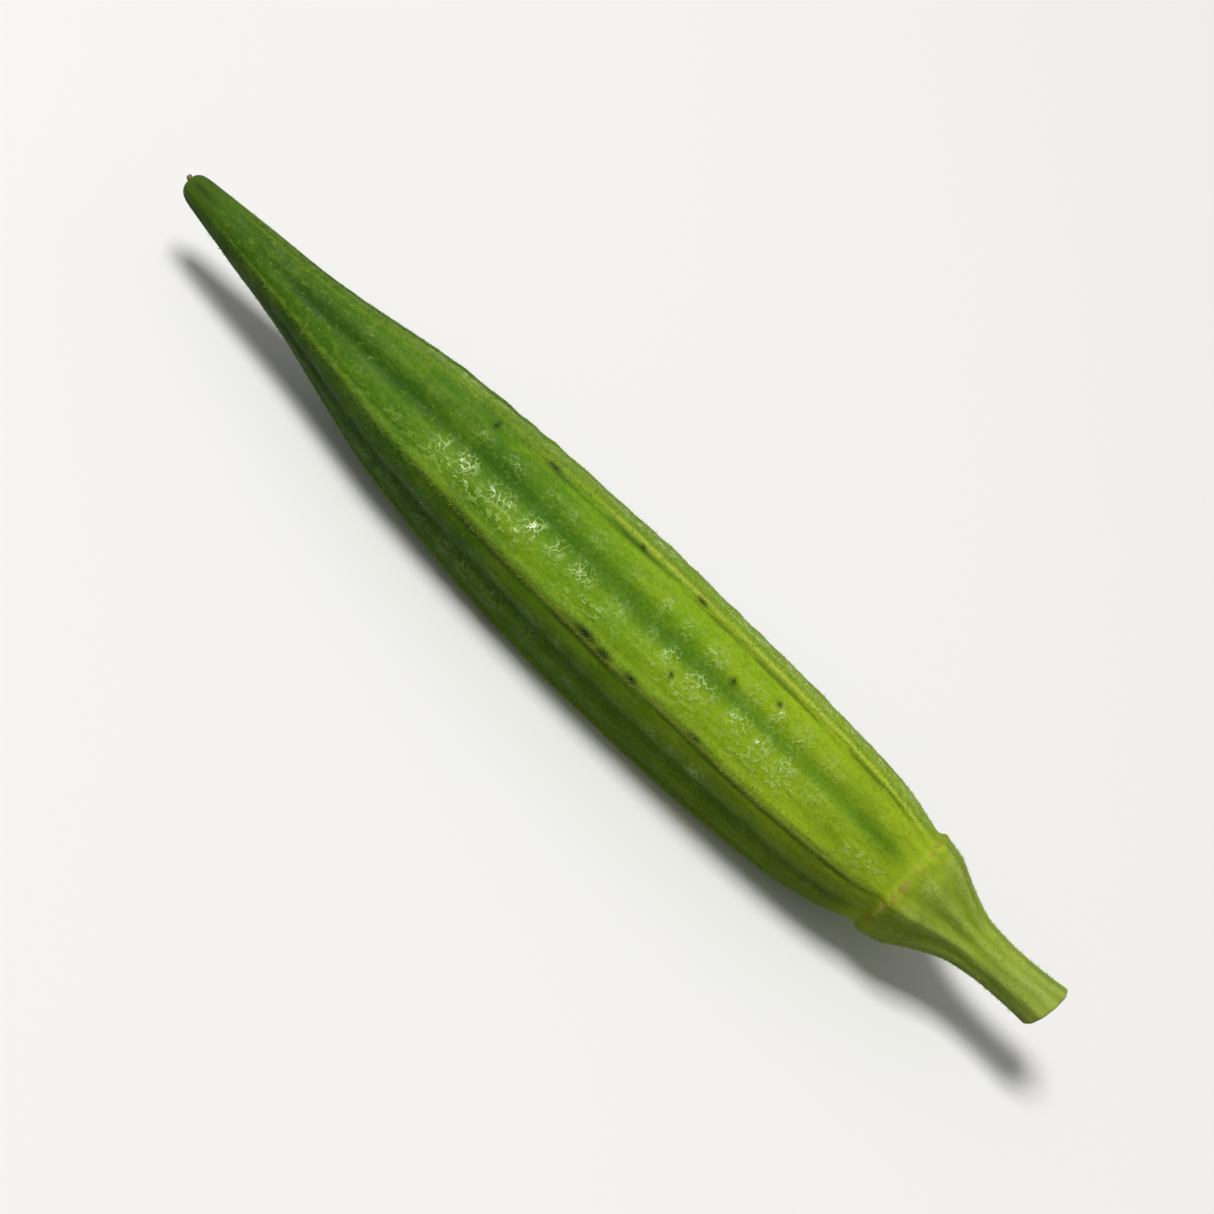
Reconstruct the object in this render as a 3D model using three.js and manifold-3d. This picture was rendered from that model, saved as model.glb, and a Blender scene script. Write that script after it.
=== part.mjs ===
// A fresh okra pod, as picked, lying on one of its five faces.
//
// The pod, its cap and its cut stalk grew as one piece, so they are one closed solid.
// Units are millimetres and +Z is up. The pod lies along X, with its tip toward -X.
// "Station" is the distance from the tip along the pod. "Turn" is the angle round the pod,
// from straight up toward -Y, and "off-crest" is the angle from the nearest ridge's crest.

import * as THREE from "three";
import { mergeVertices } from "three/addons/utils/BufferGeometryUtils.js";
import Module from "manifold-3d";

// Driving dimensions along the pod.
const POD_LENGTH = 118; // tip to the scar of the calyx
const CAP_LENGTH = 11; // scar to where the stalk begins
const STALK_LENGTH = 12;
const BELLY_RADIUS = 11.4; // over the ridges, at the widest place
const TIP_RADIUS = 1.95;
const SCAR_RADIUS = 8;
const STALK_RADIUS = 3.1;

// Ridges and the faces between them.
const RIDGE_COUNT = 5;
const FLANK_DROP = 0.08; // fall from crest to groove, as a share of the ridge radius
const RIB_DROP = 0.042; // height of the narrow rib on each crest, as the same share
const RIB_WIDTH = THREE.MathUtils.degToRad(4.2);
const RIB_CRISPNESS = 3; // 2 rounds the rib off softly, more squares its shoulders
const FURROW_DROP = 0.045; // the furrow down the middle of each face
const FURROW_WIDTH = THREE.MathUtils.degToRad(8.5);
const BEAK_TWIST = THREE.MathUtils.degToRad(6); // how far the ridges turn toward the tip

// Seeds swell both flanks of every ridge, one row on each flank.
const SEED_PITCH = 4.65;
const SEED_SWELL = 0.15;
const SEED_OFF_CREST = THREE.MathUtils.degToRad(25);
const SEED_SPREAD = THREE.MathUtils.degToRad(7.5);
const FIRST_SEED = 30;
const LAST_SEED = 104;

// The cap's flutes, the slight bow of the pod and the lean of the stalk.
const FLUTE_COUNT = 10;
const FLUTE_DEPTH = 0.5;
const BOW = 1.1; // how far the belly stands out of the line from tip to scar
const BOW_TURN = THREE.MathUtils.degToRad(139); // forward and down
const STALK_LEAN = 1.8; // how far the cut end has risen by its bend
const CUT_SLANT = 0.16; // slope of the cut across the stalk

// What the pod rests on: small flats on the swollen flanks of its lowest face.
const FLAT_DEPTH = 0.15;

// Fineness of the mesh.
const STEPS_PER_RIDGE = 12;
const CREST_CROWDING = 0.42; // 1 spaces the columns evenly, less crowds them on the crests
const ROWS_PER_SEED = 3;

const RIDGE_ANGLE = (2 * Math.PI) / RIDGE_COUNT;
const BODY_START = 2.2; // behind the rounded tip
const BODY_END = POD_LENGTH - 1.6; // just before the scar
const CAP_START = POD_LENGTH + 1.5; // just past the scar
const STALK_START = POD_LENGTH + CAP_LENGTH;
const TOTAL_LENGTH = STALK_START + STALK_LENGTH;

/** Radius over the ridges against station: a long beak, a full belly and a round shoulder. */
const BODY_KNOTS = [
  [BODY_START, 0.185 * BELLY_RADIUS],
  [10, 0.28 * BELLY_RADIUS],
  [20, 0.405 * BELLY_RADIUS],
  [29, 0.59 * BELLY_RADIUS],
  [38, 0.765 * BELLY_RADIUS],
  [48, 0.87 * BELLY_RADIUS],
  [58, 0.945 * BELLY_RADIUS],
  [70, 0.994 * BELLY_RADIUS],
  [81, BELLY_RADIUS],
  [93, 0.975 * BELLY_RADIUS],
  [104, 0.91 * BELLY_RADIUS],
  [111, 0.825 * BELLY_RADIUS],
  [BODY_END, 0.69 * BELLY_RADIUS],
];

/** Height of a smooth curve through knots of [station, height] at one station. */
function throughKnots(knots, station) {
  const last = knots.length - 2;
  const found = knots.findIndex((knot, i) => i <= last && station <= knots[i + 1][0]);
  const i = found < 0 ? last : found;
  const slope = (a, b) => (knots[b][1] - knots[a][1]) / (knots[b][0] - knots[a][0]);
  const span = knots[i + 1][0] - knots[i][0];
  const slopeIn = i === 0 ? slope(0, 1) : slope(i - 1, i + 1);
  const slopeOut = i === last ? slope(last, last + 1) : slope(i, i + 2);
  const t = THREE.MathUtils.clamp((station - knots[i][0]) / span, 0, 1);
  return (
    (2 * t ** 3 - 3 * t ** 2 + 1) * knots[i][1] +
    (t ** 3 - 2 * t ** 2 + t) * span * slopeIn +
    (3 * t ** 2 - 2 * t ** 3) * knots[i + 1][1] +
    (t ** 3 - t ** 2) * span * slopeOut
  );
}

/** Stations from one to another, both included. */
function evenStations(from, to, count) {
  return Array.from({ length: count }, (_, i) => from + ((to - from) * i) / (count - 1));
}

/** The outline that is turned round the pod's line: from the pit in the tip to the cut. */
function podOutline() {
  const seedRows = Math.round((LAST_SEED - FIRST_SEED + 2 * SEED_PITCH) / SEED_PITCH) * ROWS_PER_SEED;
  const seedStart = FIRST_SEED - SEED_PITCH;
  const seedEnd = seedStart + (seedRows * SEED_PITCH) / ROWS_PER_SEED;
  const body = [
    ...evenStations(BODY_START, seedStart, 10).slice(0, -1),
    ...evenStations(seedStart, seedEnd, seedRows + 1),
    ...evenStations(seedEnd, BODY_END, 6).slice(1),
  ].map((station) => [throughKnots(BODY_KNOTS, station), station]);
  const tip = [
    [0, 0.75],
    [0.2 * TIP_RADIUS, 0.5],
    [0.33 * TIP_RADIUS, 0],
    [0.62 * TIP_RADIUS, 0.2],
    [0.86 * TIP_RADIUS, 0.7],
    [TIP_RADIUS, 1.4],
  ];
  const scar = [
    [0.95 * SCAR_RADIUS, POD_LENGTH - 0.5],
    [0.99 * SCAR_RADIUS, POD_LENGTH + 0.1],
    [SCAR_RADIUS, POD_LENGTH + 0.8],
    [0.98 * SCAR_RADIUS, CAP_START],
  ];
  const capKnots = [
    [CAP_START, 0.98 * SCAR_RADIUS],
    [CAP_START + 2.1, 0.9 * SCAR_RADIUS],
    [CAP_START + 4.7, 0.71 * SCAR_RADIUS],
    [CAP_START + 7.3, 1.4 * STALK_RADIUS],
    [STALK_START, 1.14 * STALK_RADIUS],
  ];
  const cap = evenStations(CAP_START, STALK_START, 8)
    .slice(1)
    .map((station) => [throughKnots(capKnots, station), station]);
  const stalk = [
    [0.98 * STALK_RADIUS, STALK_START + 0.35 * STALK_LENGTH],
    [STALK_RADIUS, STALK_START + 0.75 * STALK_LENGTH],
    [1.06 * STALK_RADIUS, TOTAL_LENGTH - 0.35],
    [0.96 * STALK_RADIUS, TOTAL_LENGTH],
    [0, TOTAL_LENGTH],
  ];
  return [...tip, ...body, ...scar, ...cap, ...stalk].map((point) => new THREE.Vector2(...point));
}

/** How strong the ridges are at a station: full on the body, softer on the tip and shoulder. */
function ridgeStrength(station) {
  const { smoothstep } = THREE.MathUtils;
  const fromTip = 0.3 + 0.7 * smoothstep(station, 2, 34);
  const toCap = 1 - 0.5 * smoothstep(station, 96, POD_LENGTH - 2);
  const onCap = 1 - 0.9 * smoothstep(station, POD_LENGTH, STALK_START);
  return fromTip * toCap * onCap;
}

/** Height of the seeds' swelling at a place on the pod: a row on each flank of the ridge. */
function seedSwell(station, offCrest, ridge) {
  const { smoothstep } = THREE.MathUtils;
  const rise = smoothstep(station, FIRST_SEED - SEED_PITCH, FIRST_SEED + 3 * SEED_PITCH);
  const fall = 1 - smoothstep(station, LAST_SEED - 2 * SEED_PITCH, LAST_SEED + SEED_PITCH);
  const onFlank = (side) => {
    const row = (station - FIRST_SEED) / SEED_PITCH + 0.25 * side + 0.31 * ridge;
    const alongRow = 0.5 + 0.5 * Math.cos(2 * Math.PI * row);
    return alongRow * Math.exp(-(((offCrest - side * SEED_OFF_CREST) / SEED_SPREAD) ** 2));
  };
  return SEED_SWELL * (onFlank(-1) + onFlank(1)) * rise * fall;
}

/** Height of the cap's flutes, which fade into the scar and the stalk. */
function fluteHeight(station, turn) {
  const { smoothstep } = THREE.MathUtils;
  const rise = smoothstep(station, POD_LENGTH, POD_LENGTH + 3);
  const fall = 1 - 0.8 * smoothstep(station, STALK_START - 3, STALK_START + 2);
  return -FLUTE_DEPTH * (0.5 - 0.5 * Math.cos(FLUTE_COUNT * turn)) * rise * fall;
}

/** Radius of the pod's skin, from the radius over its ridges at that station. */
function skinRadius(crestRadius, station, turn) {
  if (crestRadius === 0) return 0; // the outline's two ends stay on the pod's line
  const ridge = Math.round(turn / RIDGE_ANGLE);
  const offCrest = turn - ridge * RIDGE_ANGLE;
  const flank = 0.5 - 0.5 * Math.cos(RIDGE_COUNT * offCrest);
  const rib = 1 - Math.exp(-(Math.abs(offCrest / RIB_WIDTH) ** RIB_CRISPNESS));
  const furrow = Math.exp(-(((RIDGE_ANGLE / 2 - Math.abs(offCrest)) / FURROW_WIDTH) ** 2));
  const drop = FLANK_DROP * flank + RIB_DROP * rib + FURROW_DROP * furrow;
  const section = crestRadius * (1 - drop * ridgeStrength(station));
  return section + seedSwell(station, offCrest, ridge) + fluteHeight(station, turn);
}

/** How far the ridges have turned at a station: straight on the belly, twisted on the beak. */
function ridgeTwist(station) {
  return BEAK_TWIST * (1 - THREE.MathUtils.smoothstep(station, 0.15 * POD_LENGTH, 0.55 * POD_LENGTH));
}

/** Middle of the pod at a station: a shallow bow, then the bend of cap and stalk. */
function middleAt(station) {
  const t = Math.min(station / POD_LENGTH, 1);
  const bow = BOW * 4 * t * (1 - t);
  const past = Math.max(station - 0.9 * POD_LENGTH, 0) / (TOTAL_LENGTH - 0.9 * POD_LENGTH);
  return new THREE.Vector2(-bow * Math.sin(BOW_TURN), bow * Math.cos(BOW_TURN) + STALK_LEAN * past ** 2);
}

/** The turn of a column, with the columns crowded on the crests. */
function columnTurn(evenTurn) {
  const ridge = Math.round(evenTurn / RIDGE_ANGLE);
  const t = (evenTurn - ridge * RIDGE_ANGLE) / (RIDGE_ANGLE / 2);
  const crowded = CREST_CROWDING * t + (1 - CREST_CROWDING) * t ** 3;
  return ridge * RIDGE_ANGLE + (crowded * RIDGE_ANGLE) / 2;
}

/** The whole pod as a closed surface along X, with its tip at x = 0. */
function podGeometry() {
  const lathe = new THREE.LatheGeometry(podOutline(), RIDGE_COUNT * STEPS_PER_RIDGE);
  const position = lathe.getAttribute("position");
  const vertex = new THREE.Vector3();
  for (let i = 0; i < position.count; i += 1) {
    vertex.fromBufferAttribute(position, i);
    const station = vertex.y;
    const crestRadius = Math.hypot(vertex.x, vertex.z);
    const column = columnTurn(Math.atan2(vertex.x, vertex.z));
    const radius = skinRadius(crestRadius, station, column);
    const turn = column + ridgeTwist(station);
    const middle = middleAt(station);
    const nearCut = THREE.MathUtils.smoothstep(station, STALK_START, TOTAL_LENGTH);
    const slant = CUT_SLANT * radius * Math.cos(turn) * nearCut;
    position.setXYZ(
      i,
      station + slant,
      middle.x - radius * Math.sin(turn),
      middle.y + radius * Math.cos(turn),
    );
  }
  return lathe;
}

/** A closed geometry as a manifold solid. */
function toSolid(geometry) {
  const bare = geometry.clone();
  bare.deleteAttribute("normal");
  bare.deleteAttribute("uv");
  const merged = mergeVertices(bare, 1e-4);
  const corners = merged.index.array;
  const triangles = [];
  for (let i = 0; i < corners.length; i += 3) {
    const [a, b, c] = corners.slice(i, i + 3);
    if (a !== b && b !== c && c !== a) triangles.push(a, b, c);
  }
  return new wasm.Manifold(
    new wasm.Mesh({
      numProp: 3,
      vertProperties: new Float32Array(merged.getAttribute("position").array),
      triVerts: new Uint32Array(triangles),
    }),
  );
}

/** A manifold solid as a geometry. */
function toGeometry(solid) {
  const mesh = solid.getMesh();
  const geometry = new THREE.BufferGeometry();
  geometry.setAttribute("position", new THREE.BufferAttribute(mesh.vertProperties, 3));
  geometry.setIndex(new THREE.BufferAttribute(mesh.triVerts, 1));
  geometry.computeVertexNormals();
  return geometry;
}

/** The pod centred over z = 0, with the lowest parts of its skin cut flat there. */
function restingPod() {
  const pod = podGeometry();
  pod.computeBoundingBox();
  const middle = pod.boundingBox.getCenter(new THREE.Vector3());
  pod.translate(-middle.x, -middle.y, -pod.boundingBox.min.z - FLAT_DEPTH);
  const ground = new THREE.BoxGeometry(2 * TOTAL_LENGTH, TOTAL_LENGTH, 10);
  ground.translate(0, 0, -5);
  return toGeometry(toSolid(pod).subtract(toSolid(ground)));
}

const wasm = await Module();
wasm.setup();

const skin = new THREE.MeshStandardMaterial({ color: 0x6b8f22, roughness: 0.5, metalness: 0 });
const okraPod = new THREE.Mesh(restingPod(), skin);
okraPod.name = "okra_pod";

const part = new THREE.Group();
part.add(okraPod);

export default part;
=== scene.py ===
"""A fresh okra pod lying on a pale table: its finished skin, cap, cut stalk, style and hairs.

The pod lies along X with its tip toward -X. "Station" is the distance from the tip along the
pod, in millimetres. "Turn" is the angle round the pod, from straight up toward -Y, and
"off-crest" is the angle from the nearest ridge's crest. Forms are worked out in millimetres
and written to the meshes in metres.
"""

import logging
import math
from dataclasses import dataclass, field
from enum import Enum

import bpy
import numpy as np
from mathutils import Matrix, Vector, noise


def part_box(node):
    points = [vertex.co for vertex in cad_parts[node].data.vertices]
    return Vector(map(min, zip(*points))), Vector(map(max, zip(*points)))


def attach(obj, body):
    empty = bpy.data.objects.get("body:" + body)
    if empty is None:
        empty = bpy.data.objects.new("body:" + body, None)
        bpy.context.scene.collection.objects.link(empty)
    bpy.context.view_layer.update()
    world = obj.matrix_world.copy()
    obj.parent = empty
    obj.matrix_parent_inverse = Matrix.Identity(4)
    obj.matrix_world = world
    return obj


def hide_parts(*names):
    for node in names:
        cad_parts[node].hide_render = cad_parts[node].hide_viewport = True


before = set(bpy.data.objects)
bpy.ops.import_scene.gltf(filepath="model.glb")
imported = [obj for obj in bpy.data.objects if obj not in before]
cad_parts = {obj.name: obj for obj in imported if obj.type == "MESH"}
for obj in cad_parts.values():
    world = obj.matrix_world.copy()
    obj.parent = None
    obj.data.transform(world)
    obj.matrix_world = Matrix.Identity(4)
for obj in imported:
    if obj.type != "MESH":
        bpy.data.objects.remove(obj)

LOG = logging.getLogger("okra_pod")
MM = 0.001
POD_NODE = "okra_pod"
# A Mix node's colour sockets go by number, because its float and vector ones share their names.
MIX_BELOW, MIX_ABOVE, MIXED = 6, 7, 2


def linear(hex_colour: str) -> tuple[float, float, float, float]:
    """Turns an sRGB hex colour to linear light.

    Args:
        hex_colour: Six hex digits after a hash.

    Returns:
        Red, green, blue and an alpha of one.
    """
    channels = [int(hex_colour[i : i + 2], 16) / 255 for i in (1, 3, 5)]
    light = [c / 12.92 if c <= 0.04045 else ((c + 0.055) / 1.055) ** 2.4 for c in channels]
    return (*light, 1.0)


def add_node(
    tree: bpy.types.NodeTree,
    kind: str,
    inputs: dict[str | int, object] | None = None,
    **settings: object,
) -> bpy.types.Node:
    """Adds a shader node with its settings, values and links.

    Args:
        tree: The node tree that gets the node.
        kind: The node's type name, without "ShaderNode".
        inputs: Values or output sockets, by the name or number of the input they go to.
        **settings: Attributes set on the node.

    Returns:
        The new node.
    """
    node = tree.nodes.new(f"ShaderNode{kind}")
    for name, value in settings.items():
        setattr(node, name, value)
    for name, value in (inputs or {}).items():
        if isinstance(value, bpy.types.NodeSocket):
            tree.links.new(value, node.inputs[name])
        else:
            node.inputs[name].default_value = value
    return node


def new_finish(name: str) -> bpy.types.Material:
    """Makes a material with an empty node tree."""
    material = bpy.data.materials.new(name)
    material.use_nodes = True
    material.node_tree.nodes.clear()
    return material


def smooth_step(value: np.ndarray, low: float, high: float) -> np.ndarray:
    """Smooth rise from 0 at low to 1 at high."""
    t = np.clip((value - low) / (high - low), 0, 1)
    return t * t * (3 - 2 * t)


def bell(offset: np.ndarray, width: float | np.ndarray, power: float = 2) -> np.ndarray:
    """Bell curve, 1 at no offset and 1/e at one width, squarer with a higher power."""
    return np.exp(-(np.abs(offset / width) ** power))


def wrapped(angle: np.ndarray, low: float) -> np.ndarray:
    """Brings an angle into the one turn that starts at low."""
    return np.mod(angle - low, 2 * math.pi) + low


def through_knots(knots: list[tuple[float, float]], at: np.ndarray) -> np.ndarray:
    """Follows a smooth curve through knots.

    Args:
        knots: Pairs of place and height, in order of place.
        at: Places to read the curve at.

    Returns:
        The curve's height at each place.
    """
    places, heights = np.array(knots).T
    steps = np.diff(heights) / np.diff(places)
    wide = (heights[2:] - heights[:-2]) / (places[2:] - places[:-2])
    slopes = np.concatenate([steps[:1], wide, steps[-1:]])
    i = np.clip(np.searchsorted(places, at) - 1, 0, len(places) - 2)
    span = places[i + 1] - places[i]
    t = np.clip((at - places[i]) / span, 0, 1)
    return (
        (2 * t**3 - 3 * t**2 + 1) * heights[i]
        + (t**3 - 2 * t**2 + t) * span * slopes[i]
        + (3 * t**2 - 2 * t**3) * heights[i + 1]
        + (t**3 - t**2) * span * slopes[i + 1]
    )


@dataclass(frozen=True)
class Grain:
    """Smooth noise with bumps of a width along X, Y and Z, in millimetres.

    The shift moves the pattern, so that two layers differ.
    """

    size: tuple[float, float, float]
    shift: float = 0

    def at(self, points: np.ndarray) -> np.ndarray:
        """Reads the noise at points in millimetres, as values from about -1 to 1."""
        scaled = points / np.array(self.size) + self.shift
        return np.array([noise.noise(Vector(place)) for place in scaled])


@dataclass(frozen=True)
class Rise:
    """The stations between which something sets in along the pod."""

    start: float
    end: float

    def at(self, station: np.ndarray) -> np.ndarray:
        """How far it has set in, from 0 to 1."""
        return smooth_step(station, self.start, self.end)


@dataclass(frozen=True)
class OutlineRows:
    """How many points trace each stretch of the pod's outline."""

    tip: int = 28
    body: int = 350
    scar: int = 24
    cap: int = 60
    rim: int = 6
    cut: int = 12


class Side(Enum):
    """The two flanks of a ridge."""

    BEFORE = -1
    AFTER = 1


@dataclass(frozen=True)
class PodForm:
    """The form that the pod grew to, in millimetres and radians.

    Beak and shoulder shares are of the belly's radius, where the body starts and ends. Drops
    are shares of the radius over the ridges. The tip's way runs along its outline, from the
    middle of the pit to the body.
    """

    pod_length: float = 118.0
    cap_length: float = 11.0
    stalk_length: float = 12.0
    body_start: float = 2.2
    belly_radius: float = 11.4
    beak_share: float = 0.185
    shoulder_share: float = 0.69
    tip_radius: float = 1.95
    tip_way: float = 4.1
    scar_radius: float = 8.0
    scar_reach: float = 2.0
    stalk_radius: float = 3.1
    cut_flare: float = 1.06
    rim_height: float = 0.35
    rim_rounding: float = 0.3
    cut_dish: float = 0.05
    ridge_count: int = 5
    flank_drop: float = 0.08
    rib_drop: float = 0.042
    rib_width: float = math.radians(4.2)
    rib_crispness: float = 3.0
    furrow_drop: float = 0.045
    furrow_width: float = math.radians(8.5)
    beak_twist: float = math.radians(6)
    seed_pitch: float = 4.65
    seed_swell: float = 0.15
    seed_off_crest: float = math.radians(25)
    seed_spread: float = math.radians(7.5)
    first_seed: float = 30.0
    last_seed: float = 104.0
    flute_count: int = 10
    flute_depth: float = 0.5
    bow: float = 1.1
    bow_turn: float = math.radians(139)
    stalk_lean: float = 1.8
    cut_slant: float = 0.16

    @property
    def ridge_angle(self) -> float:
        """Angle from one ridge to the next."""
        return 2 * math.pi / self.ridge_count

    @property
    def body_end(self) -> float:
        """Station just before the scar, where the body ends."""
        return self.pod_length - 1.6

    @property
    def cap_start(self) -> float:
        """Station just past the scar, where the cap begins."""
        return self.pod_length + 1.5

    @property
    def stalk_start(self) -> float:
        """Station where the cap ends and the stalk begins."""
        return self.pod_length + self.cap_length

    @property
    def total_length(self) -> float:
        """Station of the stalk's cut end."""
        return self.stalk_start + self.stalk_length

    @property
    def cut_radius(self) -> float:
        """Radius of the stalk's cut end, which flares a little."""
        return self.cut_flare * self.stalk_radius

    def body_radius(self, station: np.ndarray) -> np.ndarray:
        """Radius over the ridges: a long beak, a full belly and a round shoulder."""
        belly = self.belly_radius
        knots = [
            (self.body_start, self.beak_share * belly),
            (10, 0.28 * belly),
            (20, 0.405 * belly),
            (29, 0.59 * belly),
            (38, 0.765 * belly),
            (48, 0.87 * belly),
            (58, 0.945 * belly),
            (70, 0.994 * belly),
            (81, belly),
            (93, 0.975 * belly),
            (104, 0.91 * belly),
            (111, 0.825 * belly),
            (self.body_end, self.shoulder_share * belly),
        ]
        return through_knots(knots, station)

    def tip_outline(self, rows: int) -> np.ndarray:
        """Traces the rounded tip, from the middle of its pit over the rim to the body.

        Args:
            rows: How many points are traced.

        Returns:
            Pairs of radius and station.
        """
        tip = self.tip_radius
        # Each knot has the way along the outline, then the station and the radius there.
        knots = [
            (0, 0.75, 0),
            (0.5, 0.5, 0.2 * tip),
            (1.1, 0, 0.33 * tip),
            (1.8, 0.2, 0.62 * tip),
            (2.5, 0.7, 0.86 * tip),
            (3.3, 1.4, tip),
            (self.tip_way, self.body_start, self.beak_share * self.belly_radius),
        ]
        along = np.linspace(0, self.tip_way, rows)
        stations = through_knots([(way, station) for way, station, _ in knots], along)
        radii = through_knots([(way, radius) for way, _, radius in knots], along)
        return np.stack([radii, stations], 1)

    def outline(self, rows: OutlineRows) -> np.ndarray:
        """Traces the outline that is turned round the pod's line, from the tip's pit to the cut.

        Args:
            rows: How many points each stretch gets.

        Returns:
            Pairs of radius and station.
        """
        scar, pod = self.scar_radius, self.pod_length
        stalk, start, end = self.stalk_radius, self.stalk_start, self.total_length
        rim_start = end - self.rim_height
        cap_knots = [
            (self.body_end, self.shoulder_share * self.belly_radius),
            (pod - 0.7, 0.95 * scar),
            (pod - 0.1, 0.955 * scar),
            (pod + 0.35, 0.995 * scar),
            (pod + 0.8, scar),
            (self.cap_start, 0.98 * scar),
            (self.cap_start + 2.1, 0.9 * scar),
            (self.cap_start + 4.7, 0.71 * scar),
            (self.cap_start + 7.3, 1.4 * stalk),
            (start, 1.14 * stalk),
            (start + 0.35 * self.stalk_length, 0.98 * stalk),
            (start + 0.75 * self.stalk_length, stalk),
            (rim_start, self.cut_radius),
        ]
        body = np.linspace(self.body_start, self.body_end, rows.body)[1:-1]
        ring = np.linspace(self.body_end, pod + self.scar_reach, rows.scar)
        cap = np.linspace(pod + self.scar_reach, rim_start, rows.cap)[1:]
        rim_angle = np.linspace(0, math.pi / 2, rows.rim)[1:]
        face = np.linspace(1, 0, rows.cut)[1:]
        rounding = self.rim_rounding
        edge = self.cut_radius - rounding
        rim_radii = edge + rounding * np.cos(rim_angle)
        rim_stations = rim_start + rounding * np.sin(rim_angle)
        return np.concatenate(
            [
                self.tip_outline(rows.tip),
                np.stack([self.body_radius(body), body], 1),
                np.stack([through_knots(cap_knots, ring), ring], 1),
                np.stack([through_knots(cap_knots, cap), cap], 1),
                np.stack([rim_radii, rim_stations], 1),
                np.stack([edge * face, np.full_like(face, end - self.cut_dish)], 1),
            ]
        )

    def ridge_strength(self, station: np.ndarray) -> np.ndarray:
        """Strength of the ridges: full on the body, softer on the tip, shoulder and cap."""
        from_tip = 0.3 + 0.7 * smooth_step(station, 2, 34)
        to_cap = 1 - 0.5 * smooth_step(station, 96, self.pod_length - 2)
        on_cap = 1 - 0.9 * smooth_step(station, self.pod_length, self.stalk_start)
        return from_tip * to_cap * on_cap

    def ridge_twist(self, station: np.ndarray) -> np.ndarray:
        """Turn of the ridges: none on the belly, a slight twist on the beak."""
        straight = smooth_step(station, 0.15 * self.pod_length, 0.55 * self.pod_length)
        return self.beak_twist * (1 - straight)

    def split_turn(self, turn: np.ndarray) -> tuple[np.ndarray, np.ndarray]:
        """Gives the number of the nearest ridge and the angle off its crest."""
        ridge = np.round(turn / self.ridge_angle)
        return ridge, turn - ridge * self.ridge_angle

    def off_furrow(self, off_crest: np.ndarray) -> np.ndarray:
        """Angle from the nearest furrow, in the middle of the face."""
        return self.ridge_angle / 2 - np.abs(off_crest)

    def section_drop(self, off_crest: np.ndarray) -> np.ndarray:
        """Fall from the crest's radius at an angle off the crest, as a share of it."""
        flank = 0.5 - 0.5 * np.cos(self.ridge_count * off_crest)
        rib = 1 - bell(off_crest, self.rib_width, self.rib_crispness)
        furrow = bell(self.off_furrow(off_crest), self.furrow_width)
        return self.flank_drop * flank + self.rib_drop * rib + self.furrow_drop * furrow

    def seed_window(self, station: np.ndarray) -> np.ndarray:
        """Where seeds lie under the skin, from 0 to 1."""
        first, last, pitch = self.first_seed, self.last_seed, self.seed_pitch
        rise = smooth_step(station, first - pitch, first + 3 * pitch)
        fall = smooth_step(station, last - 2 * pitch, last + pitch)
        return rise * (1 - fall)

    def flute_height(self, station: np.ndarray, turn: np.ndarray) -> np.ndarray:
        """Height of the cap's flutes, which fade into the scar and the stalk."""
        rise = smooth_step(station, self.pod_length, self.pod_length + 3)
        fall = 1 - 0.8 * smooth_step(station, self.stalk_start - 3, self.stalk_start + 2)
        return -self.flute_depth * (0.5 - 0.5 * np.cos(self.flute_count * turn)) * rise * fall

    def middle(self, station: np.ndarray) -> tuple[np.ndarray, np.ndarray]:
        """Y and Z of the pod's line: a shallow bow, then the bend of cap and stalk."""
        t = np.minimum(station / self.pod_length, 1)
        bow = self.bow * 4 * t * (1 - t)
        bend_start = 0.9 * self.pod_length
        past = np.maximum(station - bend_start, 0) / (self.total_length - bend_start)
        y, z = -bow * math.sin(self.bow_turn), bow * math.cos(self.bow_turn)
        return y, z + self.stalk_lean * past**2

    def place(self, radius: np.ndarray, station: np.ndarray, turn: np.ndarray) -> np.ndarray:
        """Puts skin points where they belong.

        Args:
            radius: Distance from the pod's line.
            station: Distance from the tip.
            turn: Angle round the pod, before the beak's twist.

        Returns:
            One row of X, Y and Z for each point, with the tip near X = 0.
        """
        turned = turn + self.ridge_twist(station)
        y, z = self.middle(station)
        near_cut = smooth_step(station, self.stalk_start, self.total_length)
        slant = self.cut_slant * radius * np.cos(turned) * near_cut
        x = station + slant
        return np.stack([x, y - radius * np.sin(turned), z + radius * np.cos(turned)], 1)


@dataclass(frozen=True)
class Scuff:
    """A dark rubbed place on the skin: where it is, and how far it reaches."""

    station: float
    turn: float
    reach: float
    width: float = 0.55


SCUFFS = (
    Scuff(46.8, math.radians(8.5), 0.3, 0.6),
    Scuff(55.0, math.radians(4.5), 0.9, 0.25),
    Scuff(68.9, math.radians(5), 0.5, 0.25),
    Scuff(78.2, math.radians(4.5), 0.8, 0.25),
    Scuff(71.0, math.radians(71.5), 1.9, 0.6),
    Scuff(74.2, math.radians(73), 1.1, 0.6),
    Scuff(78.6, math.radians(72.5), 1.0, 0.55),
    Scuff(88.5, math.radians(72), 0.9, 0.4),
    Scuff(81.5, math.radians(54), 0.4, 0.4),
    Scuff(87.3, math.radians(28), 0.42, 0.42),
    Scuff(93.0, math.radians(18), 0.4, 0.4),
    Scuff(62.0, math.radians(145), 1.4),
    Scuff(84.0, math.radians(216), 1.8),
    Scuff(51.0, math.radians(288), 1.2),
    Scuff(101.0, math.radians(250), 0.5, 0.5),
)


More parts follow.
